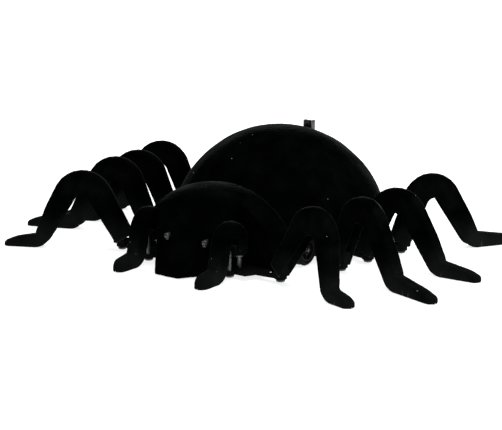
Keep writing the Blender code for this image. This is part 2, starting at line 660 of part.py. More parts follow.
def shell_screws():
    for place, (x, y, _) in zip(("abdomen", "head"), SCREWS):
        for side, sign in both_sides():
            name = "screw_%s_%s" % (place, side)
            screw = mesh_object(name, rod_mesh(0.8 * MM, 1.0 * MM, 9.0 * MM, 12), "steel", at(sign * x, y))
            join(screw, rod_mesh(1.9 * MM, 0.7 * MM, FLOOR_CLEARANCE - GAP, 14), name + "_head",
                 at(sign * x, y))


def centre_on_footprint():
    """Moves everything so that the middle of the object's outline lies on X = Y = 0."""
    depsgraph = bpy.context.evaluated_depsgraph_get()
    corners = []
    for thing in PARTS.objects:
        shape = thing.evaluated_get(depsgraph)
        corners += [shape.matrix_world @ vert.co for vert in shape.data.vertices]
    shift = Vector([-(min(c[axis] for c in corners) + max(c[axis] for c in corners)) / 2
                    for axis in (0, 1)] + [0.0])
    for thing in PARTS.objects[:] + CUTTERS.objects[:]:
        thing.matrix_world = Matrix.Translation(shift) @ thing.matrix_world


abdomen_shell()
head_shell()
eyes()
ir_receiver()
limbs()
studs()
chassis()
for wheel_side, wheel_sign in both_sides():
    front_drive(wheel_side, wheel_sign)
    rear_wheel(wheel_side, wheel_sign)
suction_fan()
electrics()
shell_screws()
centre_on_footprint()
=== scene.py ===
"""Looks of the remote-controlled toy spider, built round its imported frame.

Row frame: metres, +Z up, the spider looks along -Y and its left side is +X. Lengths in the
functions below are in millimetres and are scaled once, where a mesh is made.
"""
import json
import math

import bmesh
import bpy
import numpy as np
from mathutils import Matrix, Vector, noise


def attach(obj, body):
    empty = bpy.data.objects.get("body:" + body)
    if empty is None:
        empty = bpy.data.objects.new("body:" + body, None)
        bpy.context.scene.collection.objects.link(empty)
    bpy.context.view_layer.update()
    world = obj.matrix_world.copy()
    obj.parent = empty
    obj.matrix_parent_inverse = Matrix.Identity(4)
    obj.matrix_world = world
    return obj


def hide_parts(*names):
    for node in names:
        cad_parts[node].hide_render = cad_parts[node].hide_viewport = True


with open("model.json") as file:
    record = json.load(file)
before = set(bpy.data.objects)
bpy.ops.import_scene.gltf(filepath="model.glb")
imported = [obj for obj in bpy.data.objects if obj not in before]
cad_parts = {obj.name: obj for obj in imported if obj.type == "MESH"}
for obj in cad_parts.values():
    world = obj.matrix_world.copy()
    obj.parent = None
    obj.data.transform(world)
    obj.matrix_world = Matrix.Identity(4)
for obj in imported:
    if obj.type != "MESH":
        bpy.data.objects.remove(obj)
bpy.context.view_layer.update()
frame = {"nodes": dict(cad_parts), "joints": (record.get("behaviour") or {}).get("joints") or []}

MM = 0.001
GAP = 0.3
ON_AXIS = 1e-6                   # radius at which a turned profile meets its axis
DOME_Z = 3.0                     # height of both domes' centres
ABDOMEN = (16.0, 46.0, 45.6)     # design y of its centre, radius, half height
HEAD = (-29.0, 34.0, 29.0)
SHELL_RIM = 3.3                  # just above the chassis plate
SKIRT_RIM = 1.0                  # lower edge of both covers, hanging around the plate
STRAP_ROOM = (24.0, 1.7)         # length and half width of the notch over a strap
SHELL_WALL = 1.0
FACE_Y = -45.6
CHEEK_X = 16.2
BAY_BACK = -34.4
SNOUT_TIP = (5.8, -60.2)         # half width and y of the snout's tip
SNOUT_TOP = 15.5
SNOUT_FLOOR = 0.4
EYE = (9.6, 12.6)                # x and z of a lamp in the face
EYE_RADIUS = 1.5
RECEIVER = (2.2, 36.0, 39.2)     # half width, front and back of the block on the abdomen
RECEIVER_LOW, RECEIVER_TOP = 38.0, 48.0
SCREWS = {"abdomen": (34.0, 10.0), "head": (18.0, -31.8)}
FRONT_WHEEL = (32.9, -13.0)
WHEEL_RADIUS, RIM_RADIUS, WHEEL_WIDTH = 6.5, 4.7, 4.6
FRONT_AXLE, REAR_AXLE = 6.6, 5.4  # half lengths
FRONT_AXLE_INWARD = 4.0
AXLE_RADIUS = 0.75
GEAR = (16, 5.9, 5.2)            # teeth, tip and root radius
PINION = (6, 2.1, 1.45)
GEAR_WIDTH, GEAR_INWARD = 2.0, 4.4
PINION_BORE = 0.8

PIN_RADIUS = 1.0
PIN_HEAD = ((ON_AXIS, 0.75), (1.5, 0.6), (1.8, 0.85), (1.8, 1.3), (1.55, 1.5))
SHANK_FROM = 1.5                 # where the shank of a pin, stud or screw rises from its head
PIVOT_RING = 1.6                 # height of each of a limb's two pivot rings
LEG_HALF = 2.9                   # half thickness of a limb
LEG_WALL = 0.8
LIMB_SPACING = 0.75              # between cross sections along a limb
TOE = 2.6                        # length of a limb's rounded tip
HUB = (2.9, 3.3, 8.8)            # radius, lowest and highest point of a leg's pivot boss
FEELER_HUB = (2.9, 8.6, 13.0)
# How far each leg stands forward of straight out to its side, in degrees.
SWINGS = {"leg_left_1": 16.0, "leg_left_2": 16.8, "leg_left_3": -3.2, "leg_left_4": -58.0,
          "leg_right_1": 26.6, "leg_right_2": 21.1, "leg_right_3": 22.8, "leg_right_4": 17.0}
# A limb's underside as (distance from its pin, height, bend radius), its depth at shares of its
# length, and its reach from the pin to the toe.
LEG_EDGE = ((2.3, 3.3, 0.0), (12.7, 26.6, 3.3), (30.5, 0.0, 7.2))
LEG_DEPTH = ((0.0, 7.9), (0.30, 9.7), (0.55, 8.4), (0.66, 7.0), (0.74, 6.3), (0.93, 3.8),
             (1.0, 1.7))
LEG_REACH = {"1": 50.9, "2": 54.8, "3": 50.4, "4": 54.6}
FRONT_EDGE = ((2.3, 3.3, 0.0), (16.7, 26.6, 3.3), (33.3, 0.0, 7.2))
SQUARE_EDGE = ((2.3, 3.3, 0.0), (22.5, 28.1, 3.3), (27.9, 0.0, 6.2))
SQUARE_DEPTH = ((0.0, 7.2), (0.30, 9.0), (0.42, 10.6), (0.50, 8.6), (0.62, 7.2), (0.72, 6.1),
                (0.85, 4.9), (0.94, 3.8), (1.0, 1.7))
SQUARE_REACH = 42.5
FEELER_EDGE = ((3.2, 10.5, 0.0), (5.0, 29.4, 2.6), (12.2, 0.0, 6.9))
FEELER_DEPTH = ((0.0, 5.4), (0.20, 6.3), (0.45, 6.6), (0.62, 6.4), (0.78, 5.6), (0.93, 4.6),
                (1.0, 1.5))
FEELER_REACH = 26.8
STUD = (20.6, -46.0, 0.8, 11.0)   # x, y, radius, top

CAMERA_LENS, SENSOR = 122.88, 36.0
CAMERA_ROUND, CAMERA_UP = 36.69, 14.18   # degrees round to the spider's left, and up
CAMERA_AT = (0.4125, -0.5579, 0.1884)    # metres from the design's origin

JOINT_AT = {joint["child"]: Vector(joint["pos_m"]) for joint in frame["joints"] if "pos_m" in joint}
# The design's origin in the row frame: the fan's hinge stands at the abdomen's centre.
SHIFT = Vector((JOINT_AT["fan"].x, JOINT_AT["fan"].y - ABDOMEN[0] * MM, 0.0))
BODY = "body"
SIDES = (("left", 1), ("right", -1))


def place(x, y, z, turn=Matrix.Identity(4)):
    """A matrix in the row frame for a point given in design millimetres."""
    return Matrix.Translation(SHIFT + Vector((x, y, z)) * MM) @ turn


# ---------------------------------------------------------------- mesh helpers

def piece(name, verts, faces, matrix=None):
    """An object whose mesh is given in millimetres in its own frame."""
    mesh = bpy.data.meshes.new(name)
    mesh.from_pydata([Vector(vert) * MM for vert in verts], [], faces)
    bm = bmesh.new()
    bm.from_mesh(mesh)
    bmesh.ops.remove_doubles(bm, verts=bm.verts[:], dist=1e-7)
    bmesh.ops.recalc_face_normals(bm, faces=bm.faces[:])
    bm.to_mesh(mesh)
    bm.free()
    thing = bpy.data.objects.new(name, mesh)
    bpy.context.scene.collection.objects.link(thing)
    thing.matrix_world = matrix or place(0, 0, 0)
    return thing


def loft(rows, closed=True):
    """Vertices and faces of a skin over equal rows of points, with fans over the two ends."""
    count = len(rows[0])
    verts = [point for row in rows for point in row]
    faces = []
    for index in range(len(rows) - 1):
        base, following = index * count, (index + 1) * count
        for step in range(count):
            after = (step + 1) % count
            faces.append((base + step, base + after, following + after, following + step))
    if closed:
        for base in (0, (len(rows) - 1) * count):
            middle = len(verts)
            verts.append(tuple(np.mean([verts[base + step] for step in range(count)], axis=0)))
            faces += [(base + step, base + (step + 1) % count, middle) for step in range(count)]
    return verts, faces


def turned(profile, segments):
    """Vertices and faces of a closed profile (radius, height) turned about Z."""
    rows = []
    for step in range(segments):
        angle = math.tau * step / segments
        rows.append([(r * math.cos(angle), r * math.sin(angle), z) for r, z in profile])
    verts, faces = loft(rows + [rows[0]], closed=False)
    return verts, faces


def rounded(corners, radius, steps=4):
    """A closed outline with each corner replaced by an arc."""
    points = [Vector(corner) for corner in corners]
    path = []
    for index, here in enumerate(points):
        back = points[index - 1] - here
        on = points[(index + 1) % len(points)] - here
        reach = min(radius, back.length * 0.48, on.length * 0.48)
        start, end = here + back.normalized() * reach, here + on.normalized() * reach
        for step in range(steps + 1):
            t = step / steps
            path.append(tuple(start * (1 - t) ** 2 + here * 2 * t * (1 - t) + end * t ** 2))
    return path


def box(name, low, high, matrix=None):
    """A plain block between two opposite corners, which only serves to cut other pieces."""
    x0, y0, z0 = low
    x1, y1, z1 = high
    rows = [[(x0, y0, z), (x1, y0, z), (x1, y1, z), (x0, y1, z)] for z in (z0, z1)]
    return piece(name, *loft(rows), matrix)


def rod(name, radius, low, high, matrix=None, chamfer=0.2, segments=32):
    """A solid turned rod about Z with chamfered ends."""
    profile = [(ON_AXIS, low), (radius - chamfer, low), (radius, low + chamfer),
               (radius, high - chamfer), (radius - chamfer, high), (ON_AXIS, high)]
    return piece(name, *turned(profile, segments), matrix)


def applied(thing):
    """Replaces a mesh by what its modifiers make of it."""
    bpy.context.view_layer.update()
    graph = bpy.context.evaluated_depsgraph_get()
    mesh = bpy.data.meshes.new_from_object(thing.evaluated_get(graph), depsgraph=graph)
    old = thing.data
    thing.modifiers.clear()
    thing.data = mesh
    bpy.data.meshes.remove(old)
    return thing


def combine(thing, tools, operation):
    """Joins tools to a mesh, or cuts it by them, and deletes the tools."""
    for tool in tools:
        modifier = thing.modifiers.new("combine", "BOOLEAN")
        modifier.operation = operation
        modifier.object = tool
        modifier.solver = "EXACT"
    applied(thing)
    for tool in tools:
        bpy.data.objects.remove(tool)
    return thing


def softened(thing, voxel, rounds):
    """Remeshes evenly and smooths, which rounds every edge as a coat of flock does."""
    remesh = thing.modifiers.new("voxels", "REMESH")
    remesh.mode = "VOXEL"
    remesh.voxel_size = voxel * MM
    smooth = thing.modifiers.new("smooth", "SMOOTH")
    smooth.factor = 0.5
    smooth.iterations = rounds
    return applied(thing)


def napped(thing, height, size, seed):
    """Moves each vertex a little along its normal, as an uneven nap does."""
    mesh = thing.data
    count = len(mesh.vertices)
    places = np.zeros(count * 3)
    mesh.vertices.foreach_get("co", places)
    normals = np.zeros(count * 3)
    mesh.vertices.foreach_get("normal", normals)
    places, normals = places.reshape(-1, 3), normals.reshape(-1, 3)
    offset = Vector((seed * 7.3, seed * 3.1, seed * 5.7))
    frequency = 1 / (size * MM)
    lift = np.array([noise.noise(Vector(point) * frequency + offset) for point in places])
    mesh.vertices.foreach_set("co", (places + normals * (lift * height * MM)[:, None]).ravel())
    mesh.update()
    return thing


def dress(thing, material, body, slot, *nodes, sharp=35.0):
    """Gives a piece its material and its body, and hides the CAD nodes that it stands for; its slot is not
    used.
    """
    thing.data.materials.clear()
    thing.data.materials.append(material)
    thing.data.shade_smooth()
    if sharp:
        thing.data.set_sharp_from_angle(angle=math.radians(sharp))
    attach(thing, body)
    if nodes:
        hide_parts(*nodes)
    return thing


# ---------------------------------------------------------------- materials

class Shader:
    """A material's node tree with short calls to fill it."""

    def __init__(self, name, **sockets):
        self.material = bpy.data.materials.new(name)
        self.material.use_nodes = True
        self.tree = self.material.node_tree
        self.bsdf = self.tree.nodes["Principled BSDF"]
        for socket, value in sockets.items():
            self.bsdf.inputs[socket.replace("_", " ")].default_value = value
        self.where = self.node("ShaderNodeTexCoord").outputs["Object"]

    def node(self, kind, **inputs):
        node = self.tree.nodes.new(kind)
        for name, value in inputs.items():
            self.feed(node.inputs[name.replace("_", " ")], value)
        return node

    def feed(self, socket, value):
        if isinstance(value, bpy.types.NodeSocket):
            self.tree.links.new(value, socket)
        else:
            socket.default_value = value

    def noise(self, scale, detail=2.0, stretch=(1, 1, 1), roughness=0.5):
        mapping = self.node("ShaderNodeMapping", Vector=self.where, Scale=stretch)
        node = self.node("ShaderNodeTexNoise", Vector=mapping.outputs[0], Scale=scale,
                         Detail=detail, Roughness=roughness)
        return node.outputs["Fac"]

    def map(self, value, low, high, to_low=0.0, to_high=1.0):
        node = self.node("ShaderNodeMapRange")
        for index, number in enumerate((value, low, high, to_low, to_high)):
            self.feed(node.inputs[index], number)
        return node.outputs[0]

    def math(self, operation, first, second=0.0):
        node = self.node("ShaderNodeMath")
        node.operation = operation
        self.feed(node.inputs[0], first)
        self.feed(node.inputs[1], second)
        return node.outputs[0]

    def mix(self, share, first, second):
        node = self.node("ShaderNodeMix")
        node.data_type = "RGBA"
        self.feed(node.inputs[0], share)
        for socket, value in ((node.inputs[6], first), (node.inputs[7], second)):
            self.feed(socket, value if isinstance(value, bpy.types.NodeSocket) else (*value, 1.0))
        return node.outputs[2]

    def bump(self, height, strength, distance, normal=None):
        node = self.node("ShaderNodeBump", Height=height, Strength=strength, Distance=distance * MM)
        if normal:
            self.feed(node.inputs["Normal"], normal)
        return node.outputs[0]

    def set(self, **sockets):
        for socket, value in sockets.items():
            self.feed(self.bsdf.inputs[socket.replace("_", " ")], value)
        return self.material


def flock(name, dark, pale, painted_sheen, lint, wear_and_rim_highlight, painted_floor_bounce=0.0):
    """Short black flock: uneven nap, a painted sheen where it is seen edge on, thin grey along
    edges between two values of pointiness, if any, partly worn flock and partly a painted rim
    highlight, a painted pale bounce light from the floor over the lowest 16 mm, and a few caught
    fibres of lint."""
    s = Shader(name, Sheen_Weight=0.012, Sheen_Roughness=0.2, Sheen_Tint=(0.9, 0.95, 0.96, 1.0),
               Specular_IOR_Level=0.0, Roughness=1.0)
    patches = s.noise(95.0, 3.0)
    streaks = s.noise(260.0, 2.0, (1.0, 0.7, 0.8))
    fibre = s.noise(2600.0, 2.0)
    tone = s.math("MULTIPLY", s.map(patches, 0.38, 0.68), s.map(streaks, 0.3, 0.75, 0.35, 1.0))
    colour = s.mix(tone, dark, pale)
    # Painted light: the flock turns a paler greenish grey towards the floor, a painted bounce light from the
    # paper below.
    if painted_floor_bounce:
        height = s.node("ShaderNodeSeparateXYZ", Vector=s.where).outputs["Z"]
        dust_and_floor_bounce = s.map(height, 0.0, 0.016, painted_floor_bounce, 0.0)
        dust_and_floor_bounce = s.math("MULTIPLY", dust_and_floor_bounce, s.map(patches, 0.3, 0.65, 0.4, 1.0))
        colour = s.mix(dust_and_floor_bounce, colour, (0.022, 0.026, 0.024))
    # Painted sheen: the base colour turns paler where the flock is seen edge on.
    painted_sheen_mask = s.map(s.node("ShaderNodeLayerWeight", Blend=0.5).outputs["Facing"], 0.62, 1.0)
    painted_sheen_mask = s.math("MULTIPLY", s.math("POWER", painted_sheen_mask, 1.6), s.map(patches, 0.3, 0.65, 0.45, 1.0))
    colour = s.mix(painted_sheen_mask, colour, painted_sheen)
    # Pale grey along sharp edges: partly worn flock, partly a painted rim highlight in a brighter copy of
    # the painted sheen colour.
    if wear_and_rim_highlight:
        wear_and_rim_highlight_mask = s.map(s.node("ShaderNodeNewGeometry").outputs["Pointiness"], *wear_and_rim_highlight)
        wear_and_rim_highlight_mask = s.math("MULTIPLY", wear_and_rim_highlight_mask, s.map(s.noise(330.0, 3.0), 0.32, 0.6, 0.2, 1.0))
        colour = s.mix(wear_and_rim_highlight_mask, colour, tuple(x * 2.2 for x in painted_sheen))
    colour = s.mix(s.math("MULTIPLY", lint_specks(s), lint), colour, (0.36, 0.37, 0.38))
    rough = s.bump(fibre, 0.55, 0.25)
    rough = s.bump(patches, 0.35, 0.5, rough)
    return s.set(Base_Color=colour, Normal=rough)


def lint_specks(s):
    """Dots and short ticks, kept in a few of the cells of two coarse cell patterns."""
    found = []
    for scale, stretch, size in ((330.0, (1.0, 1.0, 1.0), 0.07), (240.0, (1.0, 0.35, 1.8), 0.08)):
        mapping = s.node("ShaderNodeMapping", Vector=s.where, Scale=stretch, Rotation=(0.5, 0.7, 0.3))
        cells = s.node("ShaderNodeTexVoronoi", Vector=mapping.outputs[0], Scale=scale)
        parts = s.node("ShaderNodeSeparateColor", Color=cells.outputs["Color"])
        chosen = s.math("GREATER_THAN", parts.outputs["Green"], 0.93)
        found.append(s.math("MULTIPLY", s.math("LESS_THAN", cells.outputs["Distance"], size), chosen))
    return s.math("MAXIMUM", *found)


def moulded(name, colour, roughness, grain=0.25, gloss=0.35):
    """Moulded plastic with a fine spark-eroded grain and slightly uneven gloss."""
    s = Shader(name, Specular_IOR_Level=gloss)
    grainy = s.noise(2200.0, 3.0)
    cloudy = s.noise(120.0, 3.0)
    pale = tuple(min(1.0, x * 1.35 + 0.002) for x in colour)
    return s.set(Base_Color=s.mix(s.map(cloudy, 0.35, 0.7), colour, pale),
                 Roughness=s.map(grainy, 0.3, 0.7, roughness - 0.08, roughness + 0.1),
                 Normal=s.bump(grainy, grain, 0.08))


def metal(name, colour, roughness, stretch, tarnish=0.25):
    """Turned or drawn metal: fine lines across the stretch, and a little tarnish."""
    s = Shader(name, Metallic=1.0)
    lines = s.noise(900.0, 3.0, stretch)
    marks = s.noise(210.0, 4.0)
    dull = tuple(x * (1 - tarnish) for x in colour)
    return s.set(Base_Color=s.mix(s.map(marks, 0.45, 0.7), colour, dull),
                 Roughness=s.map(lines, 0.25, 0.75, roughness - 0.1, roughness + 0.14),
                 Normal=s.bump(lines, 0.25, 0.06))


def rubber(name, colour, dust_and_floor_bounce):
    """Dull rubber with a fine grain and patches of dust."""
    s = Shader(name, Specular_IOR_Level=0.12)
    dust = s.noise(420.0, 4.0)
    grain = s.noise(1800.0, 2.0)
    return s.set(Base_Color=s.mix(s.map(dust, 0.5, 0.75, 0.0, 0.8), colour, dust_and_floor_bounce),
                 Roughness=s.map(dust, 0.3, 0.7, 0.72, 0.92), Normal=s.bump(grain, 0.3, 0.1))


def foil(name):
    """The creased, part-matt foil of a pouch cell."""
    s = Shader(name, Metallic=0.9)
    creases = s.noise(260.0, 5.0, roughness=0.65)
    return s.set(Base_Color=s.mix(s.map(creases, 0.3, 0.7), (0.46, 0.47, 0.5), (0.62, 0.63, 0.66)),
                 Roughness=s.map(creases, 0.3, 0.7, 0.24, 0.42), Normal=s.bump(creases, 0.5, 0.3))


def board(name):
    """Green solder mask with copper tracks that show through it."""
    s = Shader(name, Roughness=0.35, Specular_IOR_Level=0.45)
    tracks = s.node("ShaderNodeTexBrick", Vector=s.where, Scale=420.0)
    tracks.inputs["Mortar Size"].default_value = 0.09
    cloudy = s.noise(300.0, 3.0)
    mask = s.mix(s.map(cloudy, 0.3, 0.7), (0.01, 0.1, 0.035), (0.015, 0.15, 0.05))
    return s.set(Base_Color=s.mix(tracks.outputs["Fac"], mask, (0.05, 0.24, 0.09)),
                 Normal=s.bump(tracks.outputs["Fac"], 0.3, 0.05))


def lamp_lens(name):
    """A resin lamp, cloudy in its middle, with an even, slightly darker painted shade where it is seen edge
    on, and fine flow lines.
    """
    s = Shader(name, Coat_Weight=0.35, Coat_Roughness=0.12, Specular_IOR_Level=0.5,
               Subsurface_Weight=0.25, Subsurface_Scale=0.0006)
    cloudy = s.noise(900.0, 3.0)
    # Painted shade: where the lamp is seen edge on, its colour turns an even, slightly darker grey.
    edge = s.node("ShaderNodeLayerWeight", Blend=0.35).outputs["Facing"]
    body = s.mix(s.map(cloudy, 0.3, 0.7), (0.018, 0.018, 0.019), (0.085, 0.087, 0.09))
    return s.set(Base_Color=s.mix(s.map(edge, 0.2, 0.9), body, (0.035, 0.035, 0.038)),
                 Roughness=s.map(cloudy, 0.3, 0.7, 0.08, 0.22), Normal=s.bump(cloudy, 0.15, 0.1))


def floor_material(name):
    """Seamless studio paper, bright enough to wash out all but the closest shadows."""
    s = Shader(name, Roughness=0.85, Specular_IOR_Level=0.1, Emission_Strength=0.80)
    fine = s.noise(55.0, 3.0)
    white = s.mix(s.map(fine, 0.3, 0.7), (0.55, 0.55, 0.55), (0.58, 0.58, 0.58))
    return s.set(Base_Color=white, Emission_Color=(1.0, 1.0, 1.0, 1.0))


# The third colour is the painted sheen, the pale base colour painted where the flock is seen edge on.
DARK, PALE, PAINTED_SHEEN = (0.0006, 0.0007, 0.0007), (0.0026, 0.0029, 0.0030), (0.040, 0.043, 0.044)
FLOCK_BODY = flock("abdomen_flock_nap", DARK, PALE, PAINTED_SHEEN, 0.6, None)
FLOCK_HEAD = flock("head_flock_nap", DARK, PALE, PAINTED_SHEEN, 0.6, None)
FLOCK_LIMB = flock("limb_flock_nap", DARK, tuple(x * 1.3 for x in PALE), PAINTED_SHEEN, 0.7, (0.56, 0.63), 0.36)
BLACK = moulded("black_moulding", (0.0010, 0.0011, 0.0011), 0.75, gloss=0.06)
GLOSS = moulded("receiver_gloss", (0.010, 0.010, 0.012), 0.14, grain=0.05, gloss=0.6)
NYLON = moulded("nylon_moulding", (0.66, 0.65, 0.60), 0.42, grain=0.2)
WHEEL = moulded("wheel_moulding", (0.003, 0.003, 0.0033), 0.6, gloss=0.12)
STEEL = metal("turned_steel", (0.15, 0.155, 0.16), 0.36, (0.25, 0.25, 3.0), 0.6)
CAN = metal("drawn_can", (0.52, 0.52, 0.54), 0.32, (3.0, 0.3, 0.3))
TYRE = rubber("tyre_rubber_dusty", (0.003, 0.003, 0.003), (0.012, 0.012, 0.011))
SKIRT = rubber("skirt_rubber_soft", (0.014, 0.014, 0.015), (0.05, 0.048, 0.045))
FOIL = foil("battery_pouch")
BOARD = board("solder_mask")
LENS = lamp_lens("eye_resin")


# ---------------------------------------------------------------- shells

def dome(name, centre_y, radius, rise, around=160, up=72):
    """A whole ellipsoid about the dome's centre."""
    rows = []
    for level in range(1, up):
        tilt = math.pi * level / up - math.pi / 2
        ring, z = radius * math.cos(tilt), DOME_Z + rise * math.sin(tilt)
        rows.append([(ring * math.cos(math.tau * step / around),
                      centre_y + ring * math.sin(math.tau * step / around), z)
                     for step in range(around)])
    return piece(name, *loft(rows))


def wheel_arch(name, sign):
    """Room for a front wheel, and for its axle's upright on the inner side."""
    x, y = FRONT_WHEEL
    reach = WHEEL_RADIUS + 1.5
    inner = x - WHEEL_WIDTH / 2 - 3.6
    low, high = sorted((sign * inner, sign * (x + 20)))
    return box(name, (low, y - reach, -20), (high, y + reach, WHEEL_RADIUS * 2 + 1.2))


def abdomen_cover():
    """A thin dome with a receiver slot, wheel arches and a mouth towards the head."""
    y, radius, rise = ABDOMEN
    receiver, front, back = RECEIVER
    cover = dome("abdomen_cover", y, radius, rise)
    tools = [dome("hollow", y, radius - SHELL_WALL, rise - SHELL_WALL),
             box("below", (-60, -60, -60), (60, 80, SKIRT_RIM)),
             box("mouth", (-8, -40, 0), (8, -20, 11)),
             box("slot", (-receiver - GAP, front - GAP, 30), (receiver + GAP, back + GAP, 60)),
             wheel_arch("arch_left", 1), wheel_arch("arch_right", -1), *chassis_room()]
    combine(cover, tools, "DIFFERENCE")
    softened(cover, 0.42, 3)
    napped(cover, 0.10, 1.1, 1)
    napped(cover, 0.22, 9.0, 2)
    return dress(cover, FLOCK_BODY, BODY, "abdomen_flock", "abdomen_shell", sharp=None)


def chassis_room():
    """Space for the head's plate and for the straps that cross the covers' skirts."""
    y, radius, _ = HEAD
    plate = rod("plate_room", radius - 1.3, -20, SHELL_RIM, place(0, y, 0))
    combine(plate, [box("ahead", (-60, -100, -40), (60, FACE_Y - 1, 40))], "DIFFERENCE")
    rooms = [plate]
    length, half = STRAP_ROOM
    for node, where in JOINT_AT.items():
        if node.startswith("leg_"):
            x, y = (where.x - SHIFT.x) / MM, (where.y - SHIFT.y) / MM
            hub_y = HEAD[0] + FRONT_WHEEL[1] if y < FRONT_WHEEL[1] else ABDOMEN[0]
            inward = place(x, y, 0, Matrix.Rotation(math.atan2(hub_y - y, -x), 4, "Z"))
            rooms.append(box("strap_room", (0, -half, -20), (length, half, SHELL_RIM), inward))
    return rooms


def snout(name, inset):
    """A wedge that narrows forward and down from the width of the face."""
    back, tip_x, tip_y = HEAD[0] - 4, SNOUT_TIP[0] - inset, SNOUT_TIP[1] + inset
    wide, top = CHEEK_X - inset, SNOUT_TOP - inset
    bm = bmesh.new()
    for sign in (-1, 1):
        for spot in ((wide, FACE_Y + inset, top), (wide, back, top), (wide, back, -4),
                     (wide, FACE_Y + inset, -4), (tip_x, tip_y, SNOUT_FLOOR), (tip_x, tip_y, -4)):
            bm.verts.new((sign * spot[0], spot[1], spot[2]))
    bmesh.ops.convex_hull(bm, input=bm.verts[:])
    bmesh.ops.delete(bm, geom=[v for v in bm.verts if not v.link_faces], context="VERTS")
    bm.verts.index_update()
    verts = [vert.co.copy() for vert in bm.verts]
    faces = [[vert.index for vert in face.verts] for face in bm.faces]
    bm.free()
    return piece(name, verts, faces)


def head_form(name, inset):
    """The head's solid outline: a dome with a flat face, a snout, and a bay for each feeler."""
    y, radius, rise = HEAD
    form = dome(name, y, radius - inset, rise - inset)
    combine(form, [box("keep", (-70, FACE_Y + inset, -20), (70, 34, 68))], "INTERSECT")
    combine(form, [snout("snout", inset)], "UNION")
    bays = []
    for sign in (1, -1):
        low, high = sorted((sign * (CHEEK_X - inset), sign * 70))
        bays.append(box("bay", (low, -90, -40), (high, BAY_BACK + inset, 70)))
    return combine(form, bays, "DIFFERENCE")


def head_cover():
    """The hollow head, open towards the floor, with two eye holes and notches for the straps."""
    y, radius, rise = ABDOMEN
    clear = GAP * 1.3
    cover = head_form("head_cover", 0.0)
    tools = [head_form("inside", SHELL_WALL), box("floor", (-70, -140, -60), (70, 70, SNOUT_FLOOR)),
             box("rim", (-70, FACE_Y - 1, -60), (70, 70, SKIRT_RIM)),
             dome("abdomen_clearance", y, radius + clear, rise + clear),
             wheel_arch("arch_left", 1), wheel_arch("arch_right", -1), *chassis_room()]
    for sign in (1, -1):
        tools.append(rod("eye_hole", EYE_RADIUS + GAP, -4, 8,
                         facing_forward(sign * EYE[0], FACE_Y, EYE[1])))
    combine(cover, tools, "DIFFERENCE")
    softened(cover, 0.40, 4)
    napped(cover, 0.10, 1.1, 3)
    napped(cover, 0.18, 8.0, 4)
    return dress(cover, FLOCK_HEAD, BODY, "head_flock", "head_shell", sharp=None)


def facing_forward(x, y, z):
    """A frame at a point whose Z axis points out of the face."""
    return place(x, y, z, Matrix.Rotation(math.pi / 2, 4, "X"))


def eyes():
    """Round-nosed lamps that stand out of the face, with a chamfered foot behind it."""
    out = 1.7
    for side, sign in SIDES:
        nose = [(EYE_RADIUS * math.cos(a), out + EYE_RADIUS * math.sin(a))
                for a in np.linspace(0.0, math.pi / 2, 9)]
        profile = [(ON_AXIS, -0.9), (EYE_RADIUS - 0.15, -0.9), (EYE_RADIUS, -0.7), *nose[:-1],
                   (ON_AXIS, out + EYE_RADIUS)]
        lens = piece("eye_lamp_" + side, *turned(profile, 40),
                     facing_forward(sign * EYE[0], FACE_Y, EYE[1]))
        dress(lens, LENS, BODY, "eye_lens", "eye_" + side)


def receiver():
    """A small gloss block with a domed window on its face and rounded edges."""
    half, front, back = RECEIVER
    middle, deep = (front + back) / 2, (back - front) / 2
    outline = rounded([(-half, front), (half, front), (half, back), (-half, back)], 0.5)
    rows = []
    for z, inset in ((RECEIVER_LOW, 0.0), (45.0, 0.0), (47.3, 0.0), (47.75, 0.12), (RECEIVER_TOP, 0.5)):
        narrow, shallow = 1 - inset / half, 1 - inset / deep
        rows.append([(x * narrow, middle + (y - middle) * shallow, z) for x, y in outline])
    dress(piece("receiver_block", *loft(rows)), GLOSS, BODY, "receiver_plastic", "ir_receiver")
    rows = []
    for step in range(9):
        tilt = math.pi / 2 * step / 8
        ring, out = 1.25 * math.cos(tilt) + 1e-4, 0.35 * math.sin(tilt)
        rows.append([(ring * math.cos(a), front - 0.02 - out, RECEIVER_TOP - 2.0 + ring * math.sin(a))
                     for a in np.linspace(0, math.tau, 25)[:-1]])
    window = piece("receiver_window", *loft(rows))
    dress(window, GLOSS, BODY, "receiver_plastic")


# ---------------------------------------------------------------- limbs

def limb_path(corners, spacing):
    """Evenly spaced points along straight runs joined by arcs, with outward normals."""
    points = [Vector(corner[:2]) for corner in corners]
    path = [points[0]]
    for before, here, after, corner in zip(points, points[1:], points[2:], corners[1:]):
        incoming, outgoing = (here - before).normalized(), (after - here).normalized()
        turn = incoming.angle_signed(outgoing)
        start = here - incoming * corner[2] * math.tan(abs(turn) / 2)
        centre = start + Vector((incoming.y, -incoming.x)) * (corner[2] if turn > 0 else -corner[2])
        for step in range(25):
            path.append(centre + Matrix.Rotation(-turn * step / 24, 2) @ (start - centre))
    path.append(points[-1])
    path = np.array(path)
    along = np.concatenate(([0.0], np.cumsum(np.linalg.norm(np.diff(path, axis=0), axis=1))))
    count = int(along[-1] / spacing)
    wanted = np.linspace(0.0, along[-1], count + 1)
    path = np.stack([np.interp(wanted, along, path[:, axis]) for axis in (0, 1)], axis=1)
    tangent = np.gradient(path, axis=0)
    tangent /= np.linalg.norm(tangent, axis=1)[:, None]
    normal = np.stack([-tangent[:, 1], tangent[:, 0]], axis=1)
    return path, normal, wanted / along[-1], along[-1]


def eased(stops, fractions, width):
    """A chain of straight ramps, with its corners smoothed over a share of the length."""
    fine = np.interp(fractions, *zip(*stops))
    reach = max(1, int(width * len(fractions)))
    weights = np.hanning(2 * reach + 3)[1:-1]
    padded = np.concatenate((np.full(reach, fine[0]), fine, np.full(reach, fine[-1])))
    return np.convolve(padded, weights / weights.sum(), mode="valid")


